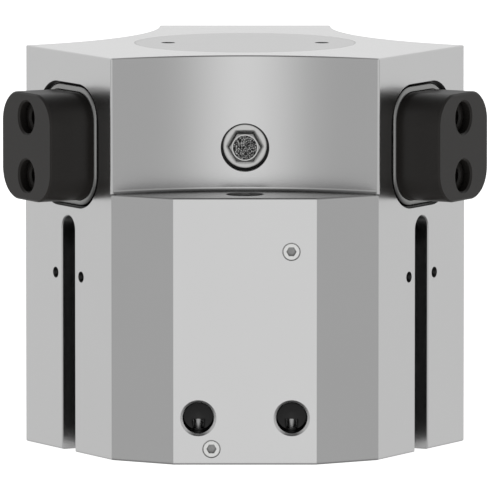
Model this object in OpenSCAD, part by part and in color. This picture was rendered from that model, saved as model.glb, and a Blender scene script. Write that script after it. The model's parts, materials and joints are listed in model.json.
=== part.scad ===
// Sealed three-jaw parallel gripper, 63 mm piston, 10 mm stroke per jaw.
// Origin on the jaw-circle axis at the base face, +Z up, ports and vent towards -Y.
// Jaws point along 90, 210 and 330 degrees and are drawn fully open.

/* [Housing] */
// Height of the housing
body_h = 113.5; // [108:0.5:130]
// Distance of each jaw face from the axis
jaw_face_r = 57.7; // [56:0.1:60]
// Width of each jaw face
jaw_face_w = 49.8; // [46:0.1:54]
// Distance of the port face from the axis
front_face_r = 60.5; // [59:0.1:63]
// Width of the port face
front_face_w = 40.2; // [36:0.1:44]
// Height of the mounting ledges
ledge_z = 75.2; // [70:0.1:80]
// Radius of the concave reliefs above the ledges
relief_r = 74; // [70:0.5:78]
// Distance of each relief's axis from the gripper axis
relief_axis_r = 114.2; // [112:0.1:118]
// Rounding of the outer edges
edge_r = 0.6; // [0.3:0.1:1]
// Fillet between a relief wall and its ledge
ledge_fillet = 1.1; // [0.5:0.1:2]

/* [Jaws] */
// Stroke of each jaw
jaw_stroke = 10; // [4:0.5:10]
// Width of a jaw
jaw_w = 28.4; // [24:0.2:29]
// Height of a jaw
jaw_h = 30.5; // [28:0.1:30.8]
// Corner radius of a jaw's section
jaw_corner_r = 8.7; // [6:0.1:10]
// Height of the jaw axis above the base
jaw_z = 87.2; // [86.8:0.1:88]
// Distance of the jaw tips from the axis, fully open
jaw_tip_r = 71.2; // [70:0.1:76]
// Distance between the two fastening holes of a jaw
jaw_hole_pitch = 16.5; // [14:0.1:18]
// Side of the square recess around a jaw
recess_w = 35.3; // [35.2:0.1:38]
// Corner radius of that recess
recess_corner_r = 11.5; // [11:0.1:14]
// Depth of that recess
recess_d = 1.4; // [0.8:0.1:2]
// Running gap between a jaw and its guide bush
jaw_gap = 0.05; // [0.03:0.01:0.1]

/* [Drive] */
// Cylinder bore diameter
bore_d = 63; // [63]
// Piston rod diameter
rod_d = 14; // [12:1:14]
// Jaw travel per unit of piston travel
wedge_ratio = 0.5; // [0.5]
// Height of the wedge driver
driver_h = 20; // [16:1:20]
// Distance of the wedge faces from the axis at their lower end
driver_r = 13; // [12:0.5:13]

/* [Ports and slots] */
// Distance between the two supply ports
port_pitch = 26.2; // [24:0.2:30]
// Height of the supply ports
port_z = 13.2; // [12:0.1:16]
// Wall radius of a supply port's thread
port_r = 4.4; // [4.28:0.01:4.6]
// Width of a sensor slot
slot_w = 7.35; // [6:0.05:8]
// Height of a sensor slot
slot_top = 66.9; // [60:0.1:67]
// Depth of a sensor slot
slot_d = 9.5; // [6:0.5:10]
// Distance of the mounting holes from the axis
mount_r = 50; // [49.5:0.1:50.5]
// Diameter of the threaded cover disc
cover_d = 63; // [62.5:0.1:63]
// Distance of the wrench holes from the axis
wrench_hole_r = 21.9; // [18:0.1:24]

/* [Hidden] */
$fn = 96;

eps = 0.02;                              // overshoot of cutters that only touch
over = 1;                                // overshoot of cutters past a face
jaw_angles = [210, 330, 90];             // directions of jaws 1, 2 and 3
relief_angles = [270, 30, 150];          // directions of the three reliefs
piston_stroke = jaw_stroke / wedge_ratio;
arc_steps = 4;                           // chords in an edge rounding

// Heights inside the housing
circlip_z = 1.2;  circlip_t = 2;         // retaining ring under the end cap
cap_z = circlip_z + circlip_t + 0.05;    // end cap, lower face
cap_t = 6.2;
cap_top = cap_z + cap_t;
piston_z = cap_top + 1.85;               // piston, lower face at rest
piston_t = 16.7;
boss_z = piston_z + piston_t + piston_stroke + 2;
bore_top = 61.5;                         // roof of the cylinder
floor_z = 68;                            // floor of the wedge chamber
driver_z = floor_z + 0.5;                // wedge driver, lower face at rest
cover_z = driver_z + driver_h + piston_stroke + 0.5;
bore_r = bore_d / 2;
chamber_r = 31;                          // wedge chamber
rod_r = rod_d / 2;
seat_r = 10.5;                           // seat of the rod seal in the boss
boss_r = 15;
groove_r = 34;  groove_h = 3;            // feed groove round the cylinder

// Piston: seal half, magnet gap, guide half
piston_r = bore_r - 0.3;
magnet_z = piston_z + 9.2;
magnet_t = 3.5;
guide_z = magnet_z + magnet_t + 0.8;     // groove of the guide ring
stud_r = 4.9;                            // lower end of the piston rod
nut_pocket = 6.5;

// Threads, drawn plain at their drill sizes
m6_drill_r = 2.5;  m3_drill_r = 1.25;
base_thread_r = 42;  base_thread_d = 12; // tapped holes in the base
pin_r = 3;  pin_d = 8;                   // locating pin holes in the base
screw_hole_r = 3.3;                      // mounting screws
counterbore_r = 5.3;  counterbore_z = 60;
clamp_z = 50.2;  clamp_t = 7.35;  clamp_d = 7;

// Bush around a jaw
bush_wall = 2.2;
bush_in = 36;                            // inner end of the bush, from the axis
bush_out = jaw_face_r - recess_d;        // outer end of the bush
wiper_wall = 1;  wiper_t = 2;
wiper_out = bush_out - 1.2;              // outer end of the wiper's groove

// Wedge ribs: neck and head of the T section, and their gaps in the jaws
neck_w = 8;  neck_l = 3;  head_w = 14;  head_l = 3.6;
rib_gap = 0.15;  face_gap = 0.2;

// Vent in the front relief
vent_y = -(relief_axis_r - relief_r);    // apex of the front relief wall
vent_z = 87.4;
vent_hole_r = 6.85;  vent_depth = 6.2;  vent_flange_r = 6.17;  vent_flange_t = 2;
vent_thread_r = 4.8;  vent_thread_d = 2.9;  vent_hex_af = 7.5;  vent_disc_r = 3.4;
vent_disc_t = 2;  vent_disc_sunk = 0.35; // disc let into the end of the hexagon
vent_seat_y = vent_y + vent_depth;
vent_disc_z = vent_depth - vent_disc_sunk - vent_disc_t;

plug_r = 2.45;  plug_l = 4.5;  plug_hex_af = 2.5;
plug_seat_r = plug_r + 0.1;  plug_seat_d = 5;
upper_plug = [13.0, 60.1];               // x and z of the upper plug screw
lower_plug = [-9.4, 4.5];                // x and z of the lower plug screw
duct_r = 2;
duct_y = -53;                            // upright ducts behind the port face
duct_xs = [port_pitch / 2, -port_pitch / 2 + 2.2];

// Plan of the housing: jaw faces, port faces and the facets between them
function polar(r, t, a) = [r * cos(a) - t * sin(a), r * sin(a) + t * cos(a)];
plan = [for (k = [0:2]) each [
    polar(jaw_face_r, -jaw_face_w / 2, 210 + 120 * k),
    polar(jaw_face_r, jaw_face_w / 2, 210 + 120 * k),
    polar(front_face_r, -front_face_w / 2, 270 + 120 * k),
    polar(front_face_r, front_face_w / 2, 270 + 120 * k)]];

// Points of a quarter round of radius r about c, from angle a to a + 90
function quarter(c, r, a) = [for (i = [0:arc_steps])
    [c[0] + r * cos(a + 90 * i / arc_steps), c[1] + r * sin(a + 90 * i / arc_steps)]];

// Bar of rounded rectangular section along +X, from x0 to x1
module rounded_bar(x0, x1, w, h, r) {
    translate([x0, 0, 0]) rotate([90, 0, 90]) linear_extrude(x1 - x0) {
        square([w - 2 * r, h], center = true);
        square([w, h - 2 * r], center = true);
        for (sx = [-1, 1], sy = [-1, 1])
            translate([sx * (w / 2 - r), sy * (h / 2 - r)]) circle(r);
    }
}

// Last stretch of such a bar, from x0, that narrows by c all round
module rounded_tip(x0, w, h, r, c) {
    translate([x0, 0, 0]) {
        rotate([90, 0, 0]) linear_extrude(w - 2 * r, center = true)
            polygon([[0, -h / 2], [c, c - h / 2], [c, h / 2 - c], [0, h / 2]]);
        linear_extrude(h - 2 * r, center = true)
            polygon([[0, -w / 2], [c, c - w / 2], [c, w / 2 - c], [0, w / 2]]);
        for (sy = [-1, 1], sz = [-1, 1])
            translate([0, sy * (w / 2 - r), sz * (h / 2 - r)])
                rotate([0, 90, 0]) cylinder(h = c, r1 = r, r2 = r - c);
    }
}

// Prism along the housing edge from p to q; its profile's x runs into the material
module edge_prism(p, q, before, after, profile) {
    d = q - p;
    translate([p[0], p[1], 0]) rotate([0, 0, atan2(d[1], d[0])])
        translate([-before, 0, 0]) rotate([90, 0, 90])
            linear_extrude(norm(d) + before + after) polygon(profile);
}

// Radial drilling at angle a and height z, from radius r0 out to r1
module radial_hole(a, z, r0, r1, r, t = 0) {
    rotate([0, 0, a]) translate([r0, t, z]) rotate([0, 90, 0]) cylinder(h = r1 - r0, r = r);
}

module ring(r_in, r_out, z0, z1) {
    translate([0, 0, z0]) difference() {
        cylinder(h = z1 - z0, r = r_out);
        translate([0, 0, -over]) cylinder(h = z1 - z0 + 2 * over, r = r_in);
    }
}

// ---- Housing ----

// One concave relief: flares at the top edge and fillets down into the ledge
module relief(a) {
    rotate([0, 0, a]) translate([relief_axis_r, 0, 0]) rotate_extrude($fn = 180)
        polygon(concat([[0, ledge_z]],
            quarter([relief_r - ledge_fillet, ledge_z + ledge_fillet], ledge_fillet, 270),
            [for (i = [0:arc_steps]) let (b = 180 - 90 * i / arc_steps)
                [relief_r + edge_r + edge_r * cos(b), body_h - edge_r + edge_r * sin(b)]],
            [[relief_r + edge_r, body_h + over], [0, body_h + over]]));
}

module base_rims() {
    profile = concat([[-over, -over], [edge_r, -over]],
        [for (i = [0:arc_steps]) let (b = 270 - 90 * i / arc_steps)
            [edge_r + edge_r * cos(b), edge_r + edge_r * sin(b)]], [[-over, edge_r]]);
    for (i = [0:11]) edge_prism(plan[i], plan[(i + 1) % 12], over, over, profile);
}

module ledge_rims() {
    profile = concat([[-over, ledge_z - edge_r]],
        [for (i = [0:arc_steps]) let (b = 180 - 90 * i / arc_steps)
            [edge_r + edge_r * cos(b), ledge_z - edge_r + edge_r * sin(b)]],
        [[edge_r, ledge_z + eps], [-over, ledge_z + eps]]);
    for (k = [0:2]) {
        edge_prism(plan[4 * k + 1], plan[4 * k + 2], 0, over, profile);
        edge_prism(plan[4 * k + 2], plan[4 * k + 3], over, over, profile);
        edge_prism(plan[4 * k + 3], plan[(4 * k + 4) % 12], over, 0, profile);
    }
}

module top_rims() {
    profile = concat([[-over, body_h - edge_r]],
        [for (i = [0:arc_steps]) let (b = 180 - 90 * i / arc_steps)
            [edge_r + edge_r * cos(b), body_h - edge_r + edge_r * sin(b)]],
        [[edge_r, body_h + over], [-over, body_h + over]]);
    for (k = [0:2]) edge_prism(plan[4 * k], plan[4 * k + 1], over, over, profile);
}

// Rounds the two upright edges of the lobe that carries the jaw at angle a
module lobe_edges(a) {
    u = jaw_face_r - edge_r;
    t = jaw_face_w / 2 - edge_r;
    for (s = [-1, 1]) rotate([0, 0, a]) translate([0, 0, ledge_z]) mirror([0, (1 - s) / 2, 0])
        linear_extrude(body_h - ledge_z + over)
            polygon(concat(quarter([u, t], edge_r, 0),
                [[u, t + edge_r + over], [u + edge_r + over, t + edge_r + over],
                 [u + edge_r + over, t]]));
}

// Way for the jaw at angle a: recess, bush seat and passage into the chamber
module jaw_way(a) {
    rotate([0, 0, a]) translate([0, 0, jaw_z]) {
        rounded_bar(bush_out, jaw_face_r + over, recess_w, recess_w, recess_corner_r);
        rounded_bar(bush_in, bush_out + eps, jaw_w + 2 * bush_wall, jaw_h + 2 * bush_wall,
            jaw_corner_r + bush_wall);
        rounded_bar(20, bush_in + eps, jaw_w + 0.8, jaw_h + 0.8, jaw_corner_r + 0.4);
    }
}

// Sensor slot in the jaw face at angle a, open at the base, with a broken edge
module sensor_slot(a) {
    chamfer = 0.3;
    round_z = slot_top - slot_w / 2;
    rotate([0, 0, a]) {
        translate([jaw_face_r - slot_d, -slot_w / 2, -over])
            cube([slot_d + over, slot_w, round_z + over]);
        translate([jaw_face_r - slot_d, 0, round_z]) rotate([0, 90, 0])
            cylinder(h = slot_d + over, r = slot_w / 2);
        translate([0, 0, -over]) linear_extrude(round_z + over)
            polygon([[jaw_face_r - chamfer, -slot_w / 2], [jaw_face_r, -slot_w / 2 - chamfer],
                [jaw_face_r + over, -slot_w / 2 - chamfer],
                [jaw_face_r + over, slot_w / 2 + chamfer],
                [jaw_face_r, slot_w / 2 + chamfer], [jaw_face_r - chamfer, slot_w / 2]]);
        translate([jaw_face_r - chamfer, 0, round_z]) rotate([0, 90, 0])
            cylinder(h = chamfer + eps, r1 = slot_w / 2, r2 = slot_w / 2 + chamfer + eps);
    }
}

// The two small threads beside a sensor slot
module clamp_threads(a) {
    chamfer = 0.3;
    for (s = [-1, 1]) {
        radial_hole(a, clamp_z, jaw_face_r - clamp_d, jaw_face_r + over, m3_drill_r, s * clamp_t);
        rotate([0, 0, a]) translate([jaw_face_r - chamfer, s * clamp_t, clamp_z])
            rotate([0, 90, 0]) cylinder(h = chamfer + eps, r1 = m3_drill_r,
                r2 = m3_drill_r + chamfer + eps);
    }
}

// Screw hole from the ledge at angle a down to the base, with its counterbore
module mounting_hole(a) {
    rotate([0, 0, a]) translate([mount_r, 0, 0]) {
        translate([0, 0, -over]) cylinder(h = ledge_z + 2 * over, r = screw_hole_r);
        translate([0, 0, counterbore_z])
            cylinder(h = ledge_z - counterbore_z + over, r = counterbore_r);
    }
}

// Supply port at x with its chamfered mouth
module port(x) {
    mouth = 0.7;
    depth = 10;
    translate([x, -front_face_r, port_z]) rotate([-90, 0, 0]) {
        translate([0, 0, -over]) cylinder(h = depth + over, r = port_r);
        translate([0, 0, -eps]) cylinder(h = mouth + eps, r1 = port_r + mouth + eps, r2 = port_r);
        // drill point
        translate([0, 0, depth - eps]) cylinder(h = 1.8, r1 = port_r, r2 = 1.5);
    }
}

// Threaded seat of a plug screw in the port face, and the duct behind it
module plug_duct(pos, to_y) {
    translate([pos[0], -front_face_r, pos[1]]) rotate([-90, 0, 0]) {
        translate([0, 0, -over]) cylinder(h = plug_seat_d + over, r = plug_seat_r);
        cylinder(h = front_face_r + to_y, r = duct_r);
    }
}

module ducts() {
    reach = groove_r + 0.2;
    groove_y = -sqrt(reach * reach - lower_plug[0] * lower_plug[0]);
    plug_duct(upper_plug, -28);
    plug_duct(lower_plug, groove_y);
    // upright ducts from the base, closed there by plugs
    translate([duct_xs[0], duct_y, -over]) cylinder(h = upper_plug[1] + over, r = duct_r);
    translate([duct_xs[1], duct_y, -over]) cylinder(h = port_z + over, r = duct_r);
    for (x = duct_xs) translate([x, duct_y, -over])
        cylinder(h = plug_seat_d + 0.2 + over, r = plug_seat_r);
    // from the lower duct up to the feed groove round the cylinder
    translate([lower_plug[0], groove_y, lower_plug[1]]) cylinder(h = 7.5, r = 1.6);
    translate([0, 0, cap_top]) cylinder(h = groove_h, r = groove_r);
}

module housing() {
    color([0.78, 0.78, 0.79]) difference() {
        linear_extrude(body_h) polygon(plan);
        for (a = relief_angles) relief(a);
        base_rims();
        ledge_rims();
        top_rims();
        for (a = jaw_angles) {
            lobe_edges(a);
            jaw_way(a);
            sensor_slot(a);
            clamp_threads(a);
            // tapped hole in the base under each jaw
            rotate([0, 0, a]) translate([base_thread_r, 0, -over])
                cylinder(h = base_thread_d + over, r = m6_drill_r);
        }
        for (a = relief_angles) mounting_hole(a);
        for (s = [-1, 1]) {
            port(s * port_pitch / 2);
            // locating pin holes in the base
            translate([s * mount_r, 0, -over]) cylinder(h = pin_d + over, r = pin_r);
        }
        ducts();
        // cylinder, leaving the boss that holds the rod bush
        difference() {
            translate([0, 0, -over]) cylinder(h = bore_top + over, r = bore_r);
            translate([0, 0, boss_z]) cylinder(h = bore_top, r = boss_r);
        }
        translate([0, 0, circlip_z - 0.05]) cylinder(h = circlip_t + 0.1, r = bore_r + 1.5);
        translate([0, 0, boss_z - over]) cylinder(h = 5 + over, r = seat_r);
        translate([0, 0, boss_z]) cylinder(h = floor_z - boss_z + over, r = rod_r + 2);
        // wedge chamber and the seat of the cover
        translate([0, 0, floor_z]) cylinder(h = cover_z - floor_z + eps, r = chamber_r);
        translate([0, 0, cover_z]) cylinder(h = body_h, r = cover_d / 2);
        // vent
        translate([0, vent_seat_y, vent_z]) rotate([90, 0, 0]) {
            cylinder(h = vent_depth + 5, r = vent_hole_r);
            translate([0, 0, -8]) cylinder(h = 9, r = vent_thread_r);
        }
    }
}

module top_cover() {
    wrench_hole_d = 3;
    color([0.76, 0.76, 0.77]) difference() {
        translate([0, 0, cover_z]) cylinder(h = body_h - cover_z, r = cover_d / 2 - 0.08);
        for (s = [-1, 1]) translate([s * wrench_hole_r, 0, body_h - wrench_hole_d])
            cylinder(h = wrench_hole_d + over, r = 2);
        difference() {
            translate([0, 0, cover_z + 1]) cylinder(h = 1.8, r = cover_d / 2 + over);
            translate([0, 0, cover_z]) cylinder(h = 4, r = cover_d / 2 - 1.4);
        }
    }
}

module cover_seal() {
    color([0.1, 0.1, 0.1]) rotate_extrude()
        translate([cover_d / 2 - 0.7, cover_z + 1.9]) circle(0.68, $fn = 32);
}

// ---- Vent ----

module filter_body() {
    rim = 0.5;
    end_r = vent_hex_af / 2 - 0.03;      // end face inside the corner chamfers
    color([0.72, 0.72, 0.7]) translate([0, vent_seat_y, vent_z]) rotate([90, 0, 0])
        difference() {
            union() {
                // flange, with a hollow fillet at the foot of the hexagon
                rotate_extrude() polygon([[0, 0], [vent_flange_r, 0],
                    [vent_flange_r, vent_flange_t - rim],
                    [vent_flange_r - 0.15, vent_flange_t - 0.2],
                    [vent_flange_r - rim, vent_flange_t], [end_r + 1.4, vent_flange_t],
                    [end_r + 0.8, vent_flange_t + 0.2], [end_r + 0.3, vent_flange_t + 0.7],
                    [end_r, vent_flange_t + 1.4], [0, vent_flange_t + 1.4]]);
                // hexagon with its flats above and below
                intersection() {
                    cylinder(h = vent_depth, r = vent_hex_af / sqrt(3), $fn = 6);
                    cylinder(h = vent_depth, r1 = end_r + vent_depth * sqrt(3), r2 = end_r);
                }
                translate([0, 0, -vent_thread_d])
                    cylinder(h = vent_thread_d + 0.1, r = vent_thread_r - 0.08);
            }
            translate([0, 0, vent_disc_z]) cylinder(h = vent_depth, r = vent_disc_r);
            // breathing hole
            translate([0, 0, -vent_thread_d - over])
                cylinder(h = vent_thread_d + vent_disc_z + 2 * over, r = 1);
        }
}

module filter_disc() {
    color([0.45, 0.45, 0.44]) translate([0, vent_seat_y, vent_z]) rotate([90, 0, 0])
        translate([0, 0, vent_disc_z]) cylinder(h = vent_disc_t, r = vent_disc_r - 0.03);
}

// ---- Jaws ----

// Slanted slab in the jaw's own plane, from d0 to d1 behind the wedge face
module slanted(d0, d1, w, z0, z1) {
    r0 = driver_r + wedge_ratio * (z0 - driver_z);
    r1 = driver_r + wedge_ratio * (z1 - driver_z);
    rotate([90, 0, 0]) linear_extrude(w, center = true)
        polygon([[r0 + d0, z0], [r0 + d1, z0], [r1 + d1, z1], [r1 + d0, z1]]);
}

module jaw(k) {
    tip = 0.5;
    sleeve_r = 4.5;  sleeve_d = 2.6;  mouth = 0.5;
    low = jaw_z - jaw_h / 2 - over;
    high = jaw_z + jaw_h / 2 + over;
    inner = rod_r + 0.5 + jaw_stroke;
    color([0.17, 0.17, 0.17]) rotate([0, 0, jaw_angles[k]]) difference() {
        translate([0, 0, jaw_z]) {
            rounded_bar(inner, jaw_tip_r - tip, jaw_w, jaw_h, jaw_corner_r);
            rounded_tip(jaw_tip_r - tip, jaw_w, jaw_h, jaw_corner_r, tip);
        }
        slanted(-40, face_gap, jaw_w + 2, low, high);
        slanted(face_gap - over, neck_l + over, neck_w + 2 * rib_gap, low, high);
        slanted(neck_l - rib_gap, neck_l + head_l + rib_gap, head_w + 2 * rib_gap, low, high);
        // bevels that keep the three inner ends clear of each other
        for (s = [-1, 1]) translate([0, 0, low])
            linear_extrude(high - low) polygon([[jaw_stroke, -s * 0.8],
                [jaw_stroke + 20, s * (20 * tan(60) - 0.8)], [jaw_stroke - 5, s * 40],
                [jaw_stroke - 5, -s * 0.8]]);
        for (s = [-1, 1]) {
            z = jaw_z + s * jaw_hole_pitch / 2;
            radial_hole(0, z, jaw_tip_r - 15, jaw_tip_r + over, m6_drill_r);
            radial_hole(0, z, jaw_tip_r - sleeve_d, jaw_tip_r + over, sleeve_r);
            translate([jaw_tip_r - mouth, 0, z]) rotate([0, 90, 0])
                cylinder(h = mouth + eps, r1 = sleeve_r, r2 = sleeve_r + mouth + eps);
            translate([jaw_tip_r - sleeve_d - 0.5, 0, z]) rotate([0, 90, 0])
                cylinder(h = 0.5 + eps, r1 = m6_drill_r, r2 = m6_drill_r + 0.5 + eps);
        }
    }
}

module guide_bush(k) {
    color([0.62, 0.62, 0.6]) rotate([0, 0, jaw_angles[k]]) translate([0, 0, jaw_z]) difference() {
        rounded_bar(bush_in, bush_out, jaw_w + 2 * bush_wall, jaw_h + 2 * bush_wall,
            jaw_corner_r + bush_wall);
        rounded_bar(bush_in - over, bush_out + over, jaw_w + 2 * jaw_gap, jaw_h + 2 * jaw_gap,
            jaw_corner_r + jaw_gap);
        rounded_bar(wiper_out - wiper_t, wiper_out, jaw_w + 2 * wiper_wall,
            jaw_h + 2 * wiper_wall, jaw_corner_r + wiper_wall);
    }
}

module jaw_wiper(k) {
    fit = 0.03;
    color([0.12, 0.12, 0.12]) rotate([0, 0, jaw_angles[k]]) translate([0, 0, jaw_z]) difference() {
        rounded_bar(wiper_out - wiper_t + fit, wiper_out - fit, jaw_w + 2 * (wiper_wall - fit),
            jaw_h + 2 * (wiper_wall - fit), jaw_corner_r + wiper_wall - fit);
        rounded_bar(wiper_out - wiper_t - over, wiper_out + over, jaw_w + 2 * jaw_gap,
            jaw_h + 2 * jaw_gap, jaw_corner_r + jaw_gap);
    }
}

// ---- Wedge driver and piston ----

screw_head_r = 6.5;  screw_head_z = driver_z + driver_h - 8.5;

module wedge_driver() {
    top = driver_z + driver_h;
    color([0.45, 0.46, 0.48]) difference() {
        union() {
            // core: three slanted flats on a round bar
            intersection() {
                translate([0, 0, driver_z]) cylinder(h = driver_h, r = 28);
                intersection_for(a = jaw_angles) rotate([0, 0, a])
                    slanted(-60, 0, 90, driver_z - over, top + over);
            }
            for (a = jaw_angles) rotate([0, 0, a]) {
                slanted(-over, neck_l + 0.5, neck_w, driver_z, top);
                slanted(neck_l, neck_l + head_l, head_w, driver_z, top);
            }
        }
        translate([0, 0, driver_z - over]) cylinder(h = driver_h + 2 * over, r = 4.2);
        translate([0, 0, screw_head_z]) cylinder(h = 10, r = screw_head_r + 0.5);
    }
}

module driver_screw() {
    head_h = 8;
    screw_z = driver_z - 14;
    color([0.3, 0.3, 0.31]) difference() {
        union() {
            translate([0, 0, screw_head_z]) cylinder(h = head_h, r = screw_head_r);
            translate([0, 0, screw_z]) cylinder(h = screw_head_z + 0.5 - screw_z, r = 3.9);
        }
        translate([0, 0, screw_head_z + 3.5]) cylinder(h = 6, r = 6 / sqrt(3), $fn = 6);
    }
}

module piston_rod() {
    color([0.75, 0.75, 0.77]) difference() {
        union() {
            translate([0, 0, piston_z + piston_t]) cylinder(h = driver_z - piston_z - piston_t,
                r = rod_r);
            translate([0, 0, piston_z + 1]) cylinder(h = piston_t, r = stud_r);
        }
        translate([0, 0, driver_z - 16]) cylinder(h = 17, r = 4);
    }
}

module rod_bush() {
    color([0.6, 0.45, 0.2]) ring(rod_r + 0.03, rod_r + 2, boss_z + 5, floor_z);
}

module rod_seal() {
    color([0.1, 0.1, 0.1]) ring(rod_r + 0.05, seat_r - 0.05, boss_z + 1.1, boss_z + 4.9);
}

module seal_retainer() {
    color([0.6, 0.6, 0.62]) ring(rod_r + 0.5, seat_r, boss_z, boss_z + 1);
}

module piston() {
    color([0.7, 0.71, 0.73]) difference() {
        union() {
            translate([0, 0, piston_z]) cylinder(h = 3, r = piston_r - 5);
            translate([0, 0, piston_z + 2.5]) cylinder(h = magnet_z - piston_z - 2.5, r = piston_r);
            translate([0, 0, magnet_z - 1]) cylinder(h = magnet_t + 1, r = 26);
        }
        translate([0, 0, piston_z - over]) cylinder(h = 30, r = stud_r + 0.1);
        translate([0, 0, piston_z - over]) cylinder(h = nut_pocket + over, r = 10.5);
        ring(piston_r - 3.2, piston_r + over, piston_z + 4.5, piston_z + 7.7);
    }
}

module piston_plate() {
    z0 = magnet_z + magnet_t;
    color([0.7, 0.71, 0.73]) difference() {
        translate([0, 0, z0]) cylinder(h = piston_z + piston_t - z0, r = piston_r);
        translate([0, 0, z0 - over]) cylinder(h = 10, r = stud_r + 0.1);
        ring(piston_r - 1.5, piston_r + over, guide_z, guide_z + 2.4);
    }
}

module piston_seal() {
    color([0.1, 0.1, 0.1]) ring(piston_r - 3.15, bore_r - 0.05, piston_z + 4.6, piston_z + 7.6);
}

module piston_guide() {
    color([0.35, 0.3, 0.25])
        ring(piston_r - 1.45, bore_r - 0.03, guide_z + 0.05, guide_z + 2.35);
}

module piston_magnet() {
    color([0.2, 0.2, 0.2]) ring(26.1, 30.6, magnet_z + 0.05, magnet_z + magnet_t - 0.05);
}

module piston_nut() {
    color([0.6, 0.6, 0.62]) difference() {
        translate([0, 0, piston_z + 1])
            cylinder(h = nut_pocket - 1, r = 16 / sqrt(3), $fn = 6);
        translate([0, 0, piston_z]) cylinder(h = 8, r = stud_r + 0.05);
    }
}

module bumper_top() {
    color([0.15, 0.15, 0.15]) ring(seat_r + 0.5, boss_r - 0.4, boss_z - 1.7, boss_z);
}

module bumper_bottom() {
    color([0.15, 0.15, 0.15]) ring(16, 22, cap_top, cap_top + 1.6);
}

// ---- Cylinder end ----

module end_cap() {
    color([0.7, 0.7, 0.72]) difference() {
        translate([0, 0, cap_z]) cylinder(h = cap_t, r = bore_r - 0.05);
        ring(bore_r - 2.5, bore_r + over, cap_z + 1.8, cap_z + 4.6);
        // shallow turned recess and extraction thread in the outer face
        translate([0, 0, cap_z - over]) cylinder(h = over + 1.2, r = 20);
        translate([0, 0, cap_z - over]) cylinder(h = over + 4.5, r = 2.5);
    }
}

module end_cap_seal() {
    color([0.1, 0.1, 0.1]) rotate_extrude()
        translate([bore_r - 1.25, cap_z + 3.2]) circle(1.2, $fn = 32);
}

module end_cap_ring() {
    lug_r = bore_r - 3.6;
    gap = 13;                            // half angle of the ring's gap
    color([0.35, 0.35, 0.36]) translate([0, 0, circlip_z]) difference() {
        union() {
            difference() {
                cylinder(h = circlip_t, r = bore_r + 1.45);
                translate([0, 1.2, -over]) cylinder(h = circlip_t + 2 * over, r = bore_r - 2.6);
                rotate([0, 0, 90 - gap]) translate([0, 0, -over])
                    linear_extrude(circlip_t + 2 * over)
                        polygon([[0, 0], polar(60, 0, 0), polar(60, 0, 2 * gap)]);
            }
            for (s = [-1, 1]) rotate([0, 0, 90 + s * (gap + 1)]) translate([lug_r, 0, 0])
                cylinder(h = circlip_t, r = 3.4);
        }
        for (s = [-1, 1]) rotate([0, 0, 90 + s * (gap + 1)]) translate([lug_r, 0, -over])
            cylinder(h = circlip_t + 2 * over, r = 1.3);
    }
}

// Plug screw with a hexagon socket, its outer face at z = 0, body along +Z
module plug_screw() {
    difference() {
        union() {
            cylinder(h = 0.25, r1 = plug_r - 0.25, r2 = plug_r);
            translate([0, 0, 0.25]) cylinder(h = plug_l - 0.25, r = plug_r);
        }
        translate([0, 0, -over])
            cylinder(h = over + 2.4, r = plug_hex_af / sqrt(3), $fn = 6);
    }
}

module duct_plugs() {
    color([0.74, 0.74, 0.72]) {
        for (p = [upper_plug, lower_plug]) translate([p[0], -front_face_r, p[1]])
            rotate([-90, 0, 0]) translate([0, 0, 0.1]) plug_screw();
        for (x = duct_xs) translate([x, duct_y, 0.3]) plug_screw();
    }
}

housing();
top_cover();
cover_seal();
filter_body();
filter_disc();
jaw(0);  // jaw_1
jaw(1);  // jaw_2
jaw(2);  // jaw_3
guide_bush(0);  // guide_bush_1
guide_bush(1);  // guide_bush_2
guide_bush(2);  // guide_bush_3
jaw_wiper(0);  // jaw_wiper_1
jaw_wiper(1);  // jaw_wiper_2
jaw_wiper(2);  // jaw_wiper_3
wedge_driver();
driver_screw();
piston_rod();
rod_bush();
rod_seal();
seal_retainer();
piston();
piston_plate();
piston_seal();
piston_guide();
piston_magnet();
piston_nut();
bumper_top();
bumper_bottom();
end_cap();
end_cap_seal();
end_cap_ring();
duct_plugs();
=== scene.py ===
"""Looks of the three-jaw pneumatic gripper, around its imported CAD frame."""
import json
import math

import bpy
from mathutils import Matrix, Vector, noise as solid_noise


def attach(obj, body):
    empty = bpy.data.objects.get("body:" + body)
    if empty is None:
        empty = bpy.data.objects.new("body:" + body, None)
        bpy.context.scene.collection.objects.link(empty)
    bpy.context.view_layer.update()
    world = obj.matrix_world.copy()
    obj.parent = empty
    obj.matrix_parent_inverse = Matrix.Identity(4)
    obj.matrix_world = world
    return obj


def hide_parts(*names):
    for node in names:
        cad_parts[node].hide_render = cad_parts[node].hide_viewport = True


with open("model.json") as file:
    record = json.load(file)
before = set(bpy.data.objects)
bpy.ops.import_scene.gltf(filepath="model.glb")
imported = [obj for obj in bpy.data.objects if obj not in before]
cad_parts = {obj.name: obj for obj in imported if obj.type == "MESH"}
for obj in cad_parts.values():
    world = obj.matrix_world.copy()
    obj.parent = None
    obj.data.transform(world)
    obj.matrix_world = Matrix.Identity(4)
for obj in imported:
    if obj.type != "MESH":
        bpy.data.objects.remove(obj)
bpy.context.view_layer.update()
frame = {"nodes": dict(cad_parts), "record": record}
NODES = frame["nodes"]


# ---- Node helpers ----

def new_material(name):
    mat = bpy.data.materials.new(name)
    mat.use_nodes = True
    nodes = mat.node_tree.nodes
    nodes.clear()
    out = nodes.new("ShaderNodeOutputMaterial")
    shader = nodes.new("ShaderNodeBsdfPrincipled")
    mat.node_tree.links.new(shader.outputs[0], out.inputs[0])
    return mat, nodes, mat.node_tree.links, shader


def object_coords(nodes):
    return nodes.new("ShaderNodeTexCoord").outputs["Object"]


def noise(nodes, links, vector, scale, detail):
    tex = nodes.new("ShaderNodeTexNoise")
    tex.inputs["Scale"].default_value = scale
    tex.inputs["Detail"].default_value = detail
    links.new(vector, tex.inputs["Vector"])
    return tex.outputs["Fac"]


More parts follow.
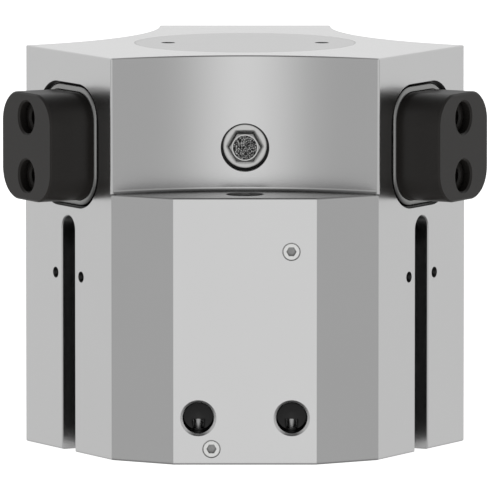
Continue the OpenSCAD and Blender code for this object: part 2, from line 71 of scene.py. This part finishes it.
def spread(nodes, links, factor, low, high):
    """Stretches the middle of a 0..1 texture over the range low..high."""
    ramp = nodes.new("ShaderNodeMapRange")
    ramp.inputs["From Min"].default_value = 0.3
    ramp.inputs["From Max"].default_value = 0.7
    ramp.inputs["To Min"].default_value = low
    ramp.inputs["To Max"].default_value = high
    links.new(factor, ramp.inputs["Value"])
    return ramp.outputs["Result"]


def two_tone(nodes, links, factor, dark, light):
    mix = nodes.new("ShaderNodeMix")
    mix.data_type = "RGBA"
    mix.inputs["A"].default_value = (*dark, 1)
    mix.inputs["B"].default_value = (*light, 1)
    links.new(factor, mix.inputs["Factor"])
    return mix.outputs["Result"]


def bump(nodes, links, shader, height, strength, distance):
    node = nodes.new("ShaderNodeBump")
    node.inputs["Strength"].default_value = strength
    node.inputs["Distance"].default_value = distance
    links.new(height, node.inputs["Height"])
    links.new(node.outputs["Normal"], shader.inputs["Normal"])


# ---- Materials ----

def tinted_by(nodes, links, color, factor):
    """Multiplies a colour by a 0..1 factor."""
    mix = nodes.new("ShaderNodeMix")
    mix.data_type = "RGBA"
    mix.blend_type = "MULTIPLY"
    mix.inputs["Factor"].default_value = 1.0
    links.new(color, mix.inputs["A"])
    links.new(factor, mix.inputs["B"])
    return mix.outputs["Result"]


def painted_crevice_shade(nodes, links, reach, shut, wide, floor):
    """Painted shade: 1 on open surfaces, falling to floor in holes, slots and inner corners, by
    the object's own ambient occlusion.
    """
    ao = nodes.new("ShaderNodeAmbientOcclusion")
    ao.only_local = True
    ao.samples = 6
    ao.inputs["Distance"].default_value = reach
    remap = nodes.new("ShaderNodeMapRange")
    remap.inputs["From Min"].default_value = shut
    remap.inputs["From Max"].default_value = wide
    remap.inputs["To Min"].default_value = floor
    remap.inputs["To Max"].default_value = 1.0
    links.new(ao.outputs["AO"], remap.inputs["Value"])
    return remap.outputs["Result"]


def between(nodes, links, value, low, high, soft):
    """1 where low < value < high, fading over soft on both sides."""
    steps = []
    for start, end in ((low - soft, low), (high + soft, high)):
        step = nodes.new("ShaderNodeMapRange")
        step.inputs["From Min"].default_value = start
        step.inputs["From Max"].default_value = end
        links.new(value, step.inputs["Value"])
        steps.append(step.outputs["Result"])
    both = nodes.new("ShaderNodeMath")
    both.operation = "MULTIPLY"
    links.new(steps[0], both.inputs[0])
    links.new(steps[1], both.inputs[1])
    return both.outputs[0]


def ledge_shade(nodes, links, level):
    """Painted shade: level on the upward faces of the milled mounting ledges, 1 everywhere else.
    """
    ledge_low, ledge_high, edge = 0.0745, 0.0765, 0.0005
    geometry = nodes.new("ShaderNodeNewGeometry")
    facing = nodes.new("ShaderNodeSeparateXYZ")
    place = nodes.new("ShaderNodeSeparateXYZ")
    links.new(geometry.outputs["Normal"], facing.inputs[0])
    links.new(object_coords(nodes), place.inputs[0])
    upward = between(nodes, links, facing.outputs["Z"], 0.6, 1.1, 0.5)
    height = between(nodes, links, place.outputs["Z"], ledge_low, ledge_high, edge)
    mask = nodes.new("ShaderNodeMath")
    mask.operation = "MULTIPLY"
    links.new(upward, mask.inputs[0])
    links.new(height, mask.inputs[1])
    remap = nodes.new("ShaderNodeMapRange")
    remap.inputs["To Min"].default_value = 1.0
    remap.inputs["To Max"].default_value = level
    links.new(mask.outputs[0], remap.inputs["Value"])
    return remap.outputs["Result"]


def metal(name, tone, rough, grain=2200.0, depth=0.000004, vary=0.012, holes=None, ledge_shade_level=None):
    """Satin metal: fine blasted or ground grain, with soft variation in tone and gloss."""
    mat, nodes, links, shader = new_material(name)
    shader.inputs["Metallic"].default_value = 1.0
    vector = object_coords(nodes)
    patches = noise(nodes, links, vector, 45.0, 3.0)
    fine = noise(nodes, links, vector, grain, 2.0)
    dark = [c * (1 - vary) for c in tone]
    light = [min(1.0, c * (1 + vary)) for c in tone]
    color = two_tone(nodes, links, patches, dark, light)
    # Painted shade: base colour darker in holes, slots and inner corners.
    if holes:
        color = tinted_by(nodes, links, color, painted_crevice_shade(nodes, links, *holes))
    # Painted shade on the mounting ledges.
    if ledge_shade_level:
        color = tinted_by(nodes, links, color, ledge_shade(nodes, links, ledge_shade_level))
    links.new(color, shader.inputs["Base Color"])
    links.new(spread(nodes, links, fine, rough * 0.94, rough * 1.06), shader.inputs["Roughness"])
    bump(nodes, links, shader, fine, 0.2, depth)
    return mat


def plain(name, tone, rough, grain=1500.0, vary=0.1, depth=0.00001, gloss=0.5, holes=None):
    """Non-metal with a fine skin: rubber, plastic, blackened steel."""
    mat, nodes, links, shader = new_material(name)
    vector = object_coords(nodes)
    fine = noise(nodes, links, vector, grain, 3.0)
    dark = [c * (1 - vary) for c in tone]
    light = [c * (1 + vary) for c in tone]
    color = two_tone(nodes, links, fine, dark, light)
    # Painted shade: colour and specular darker in holes and inner corners.
    if holes:
        painted_shade_factor = painted_crevice_shade(nodes, links, *holes)
        color = tinted_by(nodes, links, color, painted_shade_factor)
        links.new(spread(nodes, links, painted_shade_factor, 0.0, gloss), shader.inputs["Specular IOR Level"])
    else:
        shader.inputs["Specular IOR Level"].default_value = gloss
    links.new(color, shader.inputs["Base Color"])
    links.new(spread(nodes, links, fine, rough * 0.94, rough * 1.06), shader.inputs["Roughness"])
    bump(nodes, links, shader, fine, 0.3, depth)
    return mat


def sintered(name):
    """Open grains with painted light and shade: the mesh's own height lights the grains and
    darkens the pits.
    """
    mat, nodes, links, shader = new_material(name)
    height = nodes.new("ShaderNodeAttribute")
    height.attribute_name = "height"
    vector = object_coords(nodes)
    fine = noise(nodes, links, vector, 5000.0, 2.0)
    lit = two_tone(nodes, links, spread(nodes, links, fine, 0.2, 1.0), (0.45, 0.45, 0.445),
                   (1.0, 1.0, 0.99))
    # Painted shade: base colour falls to 0.01 of its tone in the pits.
    ramp = nodes.new("ShaderNodeMapRange")
    ramp.inputs["From Min"].default_value = 0.3
    ramp.inputs["From Max"].default_value = 0.7
    ramp.inputs["To Min"].default_value = 0.01
    links.new(height.outputs["Fac"], ramp.inputs["Value"])
    links.new(tinted_by(nodes, links, lit, ramp.outputs["Result"]), shader.inputs["Base Color"])
    links.new(spread(nodes, links, fine, 0.35, 0.6), shader.inputs["Roughness"])
    shader.inputs["Metallic"].default_value = 0.5
    return mat


# HOLES and SMALL_HOLES set painted shade: base colour darkened in holes, slots and inner corners.
HOLES = (0.010, 0.30, 0.72, 0.26)    # reach, shut, wide, floor of the crevice shade
SMALL_HOLES = (0.002, 0.30, 0.85, 0.15)
MATERIALS = {
    "housing": metal("anodised_housing", (0.9, 0.9, 0.9), 0.2, holes=HOLES, ledge_shade_level=0.53),
    "cover": metal("turned_cover", (0.70, 0.70, 0.70), 0.24, holes=HOLES),
    "rubber": plain("black_rubber", (0.018, 0.018, 0.018), 0.6),
    "vent_metal": metal("vent_nickel", (0.8, 0.8, 0.79), 0.2, holes=SMALL_HOLES),
    "sinter": sintered("sintered_disc"),
    "bronze": metal("oiled_bronze", (0.55, 0.36, 0.16), 0.4),
    "steel": metal("zinc_steel", (0.62, 0.62, 0.63), 0.35),
    "spring_steel": metal("phosphated_steel", (0.16, 0.16, 0.165), 0.5),
    "cap": metal("turned_cap", (0.78, 0.78, 0.79), 0.3, holes=HOLES),
    "plug_metal": metal("plug_nickel", (0.99, 0.99, 0.98), 0.2, holes=SMALL_HOLES),
    "piston_metal": metal("turned_piston", (0.8, 0.8, 0.81), 0.3),
    "guide_plastic": plain("filled_plastic", (0.12, 0.1, 0.08), 0.5),
    "magnet": plain("bonded_magnet", (0.05, 0.05, 0.05), 0.6),
    "rod_chrome": metal("ground_chrome", (0.85, 0.85, 0.86), 0.12),
    "wedge_steel": metal("hardened_steel", (0.5, 0.5, 0.51), 0.3),
    "black_screw": metal("black_oxide", (0.09, 0.09, 0.09), 0.4),
    "bush_steel": metal("ground_bush", (0.72, 0.72, 0.71), 0.22),
    # Painted shade on the jaws: colour and specular darker in their hollows and inner corners.
    "jaw_black": plain("blackened_jaw", (0.018, 0.0165, 0.0152), 0.34, gloss=0.30,
                       holes=(0.006, 0.25, 0.75, 0.1)),
    # Near-black lining for threaded bores, the vent gap and the clamp countersinks: painted shade
    # inside them.
    "thread_shadow": metal("bore_painted_shadow", (0.05, 0.05, 0.05), 0.32),
    # Collar steel, its tone set low partly to stand for the shade in the jaw recess; painted
    # shade also darkens its groove.
    "collar": metal("collar_steel_painted_shade", (0.42, 0.42, 0.415), 0.25, holes=(0.003, 0.25, 0.8, 0.12)),
    "duct_wall": metal("drilled_duct", (0.5, 0.5, 0.5), 0.22),
}

for entry in frame["record"]["subparts"]:
    obj = NODES[entry["node"]]
    obj.data.materials.clear()
    obj.data.materials.append(MATERIALS[entry["material_slot"]])


# ---- Finer pieces than the CAD carries ----

MM = 0.001


def along_y(x, y, z, outward):
    """Frame whose +Z runs along -Y (outward) or +Y, at a point given in millimetres."""
    turn = Matrix.Rotation(math.pi / 2 if outward else -math.pi / 2, 4, "X")
    return Matrix.Translation(Vector((x, y, z)) * MM) @ turn


def make_piece(name, verts, faces, place, material, body, smooth_deg=35.0):
    mesh = bpy.data.meshes.new(name)
    mesh.from_pydata([place @ (Vector(v) * MM) for v in verts], [], faces)
    mesh.validate()
    mesh.polygons.foreach_set("use_smooth", [True] * len(mesh.polygons))
    mesh.set_sharp_from_angle(angle=math.radians(smooth_deg))
    mesh.materials.append(MATERIALS[material])
    obj = bpy.data.objects.new(name, mesh)
    bpy.context.scene.collection.objects.link(obj)
    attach(obj, body)
    return obj


def loops_to_faces(count, around):
    """Quads between count closed loops of vertices."""
    return [(i * around + j, i * around + (j + 1) % around,
             (i + 1) * around + (j + 1) % around, (i + 1) * around + j)
            for i in range(count - 1) for j in range(around)]


def lathe(profile, around=96):
    """Vertices and faces of a turned surface from (radius, height) points."""
    verts = [(r * math.cos(2 * math.pi * j / around), r * math.sin(2 * math.pi * j / around), h)
             for r, h in profile for j in range(around)]
    return verts, loops_to_faces(len(profile), around)


def hex_radius(across_flats, angle):
    """Distance from the axis to a hexagon with a corner at angle 0."""
    step = math.pi / 3
    return across_flats / 2 / math.cos((angle % step) - step / 2)


def make_vent():
    """Flanged vent screw: a hexagon end on a hollow fillet holds the sintered disc."""
    seat_y, centre_z = -34.0, 87.4
    across, end_r, disc_r, tall, disc_seat = 7.5, 3.74, 3.38, 6.2, 3.85
    shank_r, shank_end, breathing_r = 4.72, -2.9, 1.0
    flange_r, flange_top, fillet, hole_r = 6.38, 2.0, 1.2, 6.82
    chamfer = math.tan(math.radians(30))
    around = 144
    verts, _ = lathe([(shank_r, shank_end), (shank_r, 0.0), (flange_r, 0.0), (flange_r, 1.5),
                      (6.36, 1.65), (6.31, 1.78), (6.22, 1.88), (6.08, 1.95), (5.9, 1.99),
                      (5.6, flange_top)], around)
    flats = [(2 * math.pi * j / around, hex_radius(across, 2 * math.pi * j / around))
             for j in range(around)]
    for k in range(7):
        turn = math.pi / 2 * k / 6
        out, up = fillet * (1 - math.sin(turn)), flange_top + fillet * (1 - math.cos(turn))
        verts += [((r + out) * math.cos(a), (r + out) * math.sin(a), up) for a, r in flats]
    verts += [(r * math.cos(a), r * math.sin(a), tall - 0.02 - (r - end_r) * chamfer)
              for a, r in flats]
    inner, _ = lathe([(end_r - 0.04, tall), (disc_r + 0.05, tall), (disc_r, tall - 0.05),
                      (disc_r, disc_seat), (breathing_r, disc_seat), (breathing_r, shank_end),
                      (shank_r, shank_end)], around)
    verts += inner
    faces = loops_to_faces(len(verts) // around, around)
    place = along_y(0, seat_y, centre_z, True)
    body = make_piece("vent_body", verts, faces, place, "vent_metal", "housing",
                      25.0)
    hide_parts("filter_body")
    # Painted shadow: a dark ring on the seat and wall between the flange and its hole.
    shadow, shadow_faces = lathe([(flange_r + 0.02, 0.03), (hole_r, 0.03),
                                  (hole_r, flange_top + 0.3)], around)
    make_piece("vent_gap_painted_shadow", shadow, shadow_faces, place, "thread_shadow", "housing")
    make_grains(place, disc_r - 0.06, tall - 0.3, disc_seat)


def make_grains(place, radius, front, back):
    """Sintered disc: a front of small rounded grains with open pits between them."""
    grain, relief, rings, around = 0.48, 0.22, 64, 256
    verts, heights = [], []
    for i in range(rings + 1):
        r = radius * max(i, 0.02) / rings
        for j in range(around):
            a = 2 * math.pi * j / around
            x, y = r * math.cos(a), r * math.sin(a)
            near = solid_noise.voronoi(Vector((x / grain + 7.3, y / grain + 3.1, 0.37)))[0]
            lump = min(1.0, max(0.0, 2.0 * (near[1] - near[0])))
            verts.append((x, y, front - relief * (1.0 - lump)))
            heights.append(lump)
    for r, h in ((radius, back), (0.02 * radius, back)):
        for j in range(around):
            a = 2 * math.pi * j / around
            verts.append((r * math.cos(a), r * math.sin(a), h))
            heights.append(0.0)
    faces = loops_to_faces(rings + 3, around)
    disc = make_piece("sintered_grains", verts, faces, place, "sinter", "housing", 80.0)
    # The height attribute drives the painted light and shade of the sintered material.
    attribute = disc.data.attributes.new("height", "FLOAT", "POINT")
    attribute.data.foreach_set("value", heights)
    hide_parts("filter_disc")


def make_port(name, x):
    """Threaded lining of a supply port, dark as painted shade, with the duct that opens in its
    end.
    """
    face_y, centre_z = -60.5, 13.2
    crest, root, pitch, start, turns = 4.16, 4.38, 0.907, 0.75, 8
    profile = [(root, start)]
    for i in range(turns):
        z = start + pitch * i
        profile += [(root, z + 0.12 * pitch), (crest, z + 0.45 * pitch),
                    (crest, z + 0.6 * pitch), (root, z + 0.93 * pitch)]
    end = start + pitch * turns + 0.4
    profile += [(root, end), (0.9, end + 0.9), (0.02, end + 0.9)]
    verts, faces = lathe(profile)
    place = along_y(x, face_y, centre_z, False)
    make_piece(name + "_thread", verts, faces, place, "thread_shadow", "housing", 20.0)
    duct_r, low, high, steps = 1.5, 1.2, 3.9, 24     # a half-round strip, low to high
    verts = []
    for z in (low, high):
        for i in range(steps + 1):
            a = math.pi * i / steps
            verts.append((duct_r * math.cos(a), z, end - 0.9 + duct_r * 0.6 * math.sin(a)))
    faces = [(i, i + 1, steps + 2 + i, steps + 1 + i) for i in range(steps)]
    make_piece(name + "_duct", verts, faces, place, "duct_wall", "housing")


def rounded_loop(half_w, half_h, corner, steps=14):
    """Points of a rounded rectangle, the same number for any size."""
    points = []
    for quarter, (sx, sy) in enumerate(((1, 1), (-1, 1), (-1, -1), (1, -1))):
        for i in range(steps + 1):
            a = math.pi / 2 * (quarter + i / steps)
            points.append((sx * (half_w - corner) + corner * math.cos(a),
                           sy * (half_h - corner) + corner * math.sin(a)))
    return points


def make_collars():
    """Rounded lips round the jaws, each with a groove outside it in the recess."""
    jaw_w, jaw_h, jaw_corner, height = 14.2, 15.25, 8.7, 87.2
    wall, wall_corner, floor_at, rim_at = 17.62, 11.45, 56.33, 57.6
    lip_side, lip_top, gap = 0.85, 1.75, 0.12
    sections = [(wall, wall, wall_corner, rim_at), (wall, wall, wall_corner, floor_at)]
    for k in range(9):
        turn = math.pi / 2 * k / 8
        side, top = (gap + 0.1 + lip * math.cos(turn) for lip in (lip_side, lip_top))
        sections.append((jaw_w + side, jaw_h + top, jaw_corner + side,
                         floor_at + (rim_at - floor_at) * math.sin(turn)))
    for at in (rim_at - 0.1, floor_at):
        sections.append((jaw_w + gap, jaw_h + gap, jaw_corner + gap, at))
    verts, faces = [], []
    for degrees in (210, 330, 90):
        turn = Matrix.Rotation(math.radians(degrees), 4, "Z")
        start = len(verts)
        for half_w, half_h, corner, at in sections:
            loop = rounded_loop(half_w, half_h, corner)
            verts += [turn @ Vector((at, y, height + z)) for y, z in loop]
        faces += [tuple(v + start for v in face)
                  for face in loops_to_faces(len(sections), len(loop))]
    make_piece("jaw_collars", verts, faces, Matrix.Identity(4), "collar", "housing")


def make_clamp_mouths():
    """Threads of the six sensor-bracket holes and their countersinks, dark as painted shade; the
    countersink is a flat dark ring 0.012 mm proud of the face.
    """
    face_r, height, side = 57.7, 50.2, 7.35
    profile = [(1.56, -0.012), (1.5, -0.014), (1.2, 0.3),
               (1.1, 0.5), (1.24, 0.75), (1.1, 1.0), (1.24, 1.25),
               (1.1, 1.5), (1.24, 1.75), (1.24, 6.5), (0.02, 6.9)]
    rings, faces = lathe(profile, 48)
    verts, all_faces = [], []
    for degrees in (210, 330, 90):
        for s in (-1, 1):
            turn = Matrix.Rotation(math.radians(degrees), 4, "Z")
            place = (turn @ Matrix.Translation((face_r, s * side, height))
                     @ Matrix.Rotation(-math.pi / 2, 4, "Y"))
            all_faces += [tuple(v + len(verts) for v in face) for face in faces]
            verts += [place @ Vector(v) for v in rings]
    make_piece("clamp_holes_painted_shade", verts, all_faces, Matrix.Identity(4), "thread_shadow",
               "housing")


make_vent()
make_port("port_left", -13.1)
make_port("port_right", 13.1)
make_clamp_mouths()
make_collars()


# ---- Stage ----

def make_floor():
    bpy.ops.mesh.primitive_plane_add(size=8.0, location=(0, 0, -0.0002))
    floor = bpy.context.object
    floor.name = "floor"
    mat, nodes, links, shader = new_material("pale_floor")
    vector = object_coords(nodes)
    mottle = noise(nodes, links, vector, 6.0, 3.0)
    links.new(two_tone(nodes, links, mottle, (0.9, 0.9, 0.9), (0.94, 0.94, 0.94)),
              shader.inputs["Base Color"])
    shader.inputs["Roughness"].default_value = 0.9
    shader.inputs["Emission Color"].default_value = (1, 1, 1, 1)
    shader.inputs["Emission Strength"].default_value = 0.95
    floor.data.materials.append(mat)
    floor.visible_glossy = False
    return floor


# Level by bearing, from 0 in front of the part (-Y) to 1 behind it
AROUND_LEVELS = [(0.0, 0.70), (0.03, 0.68), (0.067, 0.63), (0.105, 0.55), (0.144, 0.46),
                 (0.18, 0.41), (0.22, 0.385), (0.36, 0.385), (0.6, 0.56), (0.72, 0.58),
                 (1.0, 0.76)]
# Factor by height, from 0 straight down to 1 straight up
UPRIGHT_LEVELS = [(0.0, 0.25), (0.15, 0.4), (0.35, 0.9), (0.45, 1.0), (0.8, 1.0), (0.92, 0.5),
                  (0.97, 0.15), (1.0, 0.1)]


def make_world():
    """Soft studio surround: bright ahead of the part and behind it, dimmer at the sides,
    dark straight overhead and towards the ground."""
    world = bpy.data.worlds.new("studio")
    bpy.context.scene.world = world
    world.use_nodes = True
    nodes = world.node_tree.nodes
    links = world.node_tree.links
    nodes.clear()
    out = nodes.new("ShaderNodeOutputWorld")
    back = nodes.new("ShaderNodeBackground")
    coords = nodes.new("ShaderNodeTexCoord")
    split = nodes.new("ShaderNodeSeparateXYZ")
    links.new(coords.outputs["Generated"], split.inputs[0])

    flip = nodes.new("ShaderNodeMath")
    flip.operation = "MULTIPLY"
    flip.inputs[1].default_value = -1.0
    links.new(split.outputs["Y"], flip.inputs[0])
    bearing = nodes.new("ShaderNodeMath")
    bearing.operation = "ARCTAN2"
    links.new(split.outputs["X"], bearing.inputs[0])
    links.new(flip.outputs[0], bearing.inputs[1])
    size = nodes.new("ShaderNodeMath")
    size.operation = "ABSOLUTE"
    links.new(bearing.outputs[0], size.inputs[0])
    half_turn = nodes.new("ShaderNodeMath")
    half_turn.operation = "DIVIDE"
    half_turn.inputs[1].default_value = math.pi
    links.new(size.outputs[0], half_turn.inputs[0])
    around = grey_ramp(nodes, links, half_turn.outputs[0], AROUND_LEVELS)

    to_unit = nodes.new("ShaderNodeMapRange")
    to_unit.inputs["From Min"].default_value = -1
    to_unit.inputs["From Max"].default_value = 1
    links.new(split.outputs["Z"], to_unit.inputs["Value"])
    upright = grey_ramp(nodes, links, to_unit.outputs["Result"], UPRIGHT_LEVELS)

    links.new(tinted_by(nodes, links, around, upright), back.inputs["Color"])
    back.inputs["Strength"].default_value = 1.0
    links.new(back.outputs[0], out.inputs[0])


def grey_ramp(nodes, links, factor, stops):
    ramp = nodes.new("ShaderNodeValToRGB")
    elements = ramp.color_ramp.elements
    while len(elements) < len(stops):
        elements.new(0.5)
    for element, (place, level) in zip(elements, stops):
        element.position = place
        element.color = (level, level, level, 1)
    links.new(factor, ramp.inputs["Fac"])
    return ramp.outputs["Color"]


def make_camera():
    pitch_down = 0.10752
    camera = bpy.data.cameras.new("camera")
    camera.sensor_width = 36.0
    camera.lens = 764.5
    camera.clip_end = 50.0
    obj = bpy.data.objects.new("camera", camera)
    obj.location = (0.0, -2.9545, 0.3744)
    obj.rotation_euler = (math.pi / 2 - pitch_down, 0.0, 0.0)
    bpy.context.scene.collection.objects.link(obj)
    bpy.context.scene.camera = obj


make_floor()
make_world()
make_camera()
bpy.context.scene.view_settings.view_transform = "Standard"
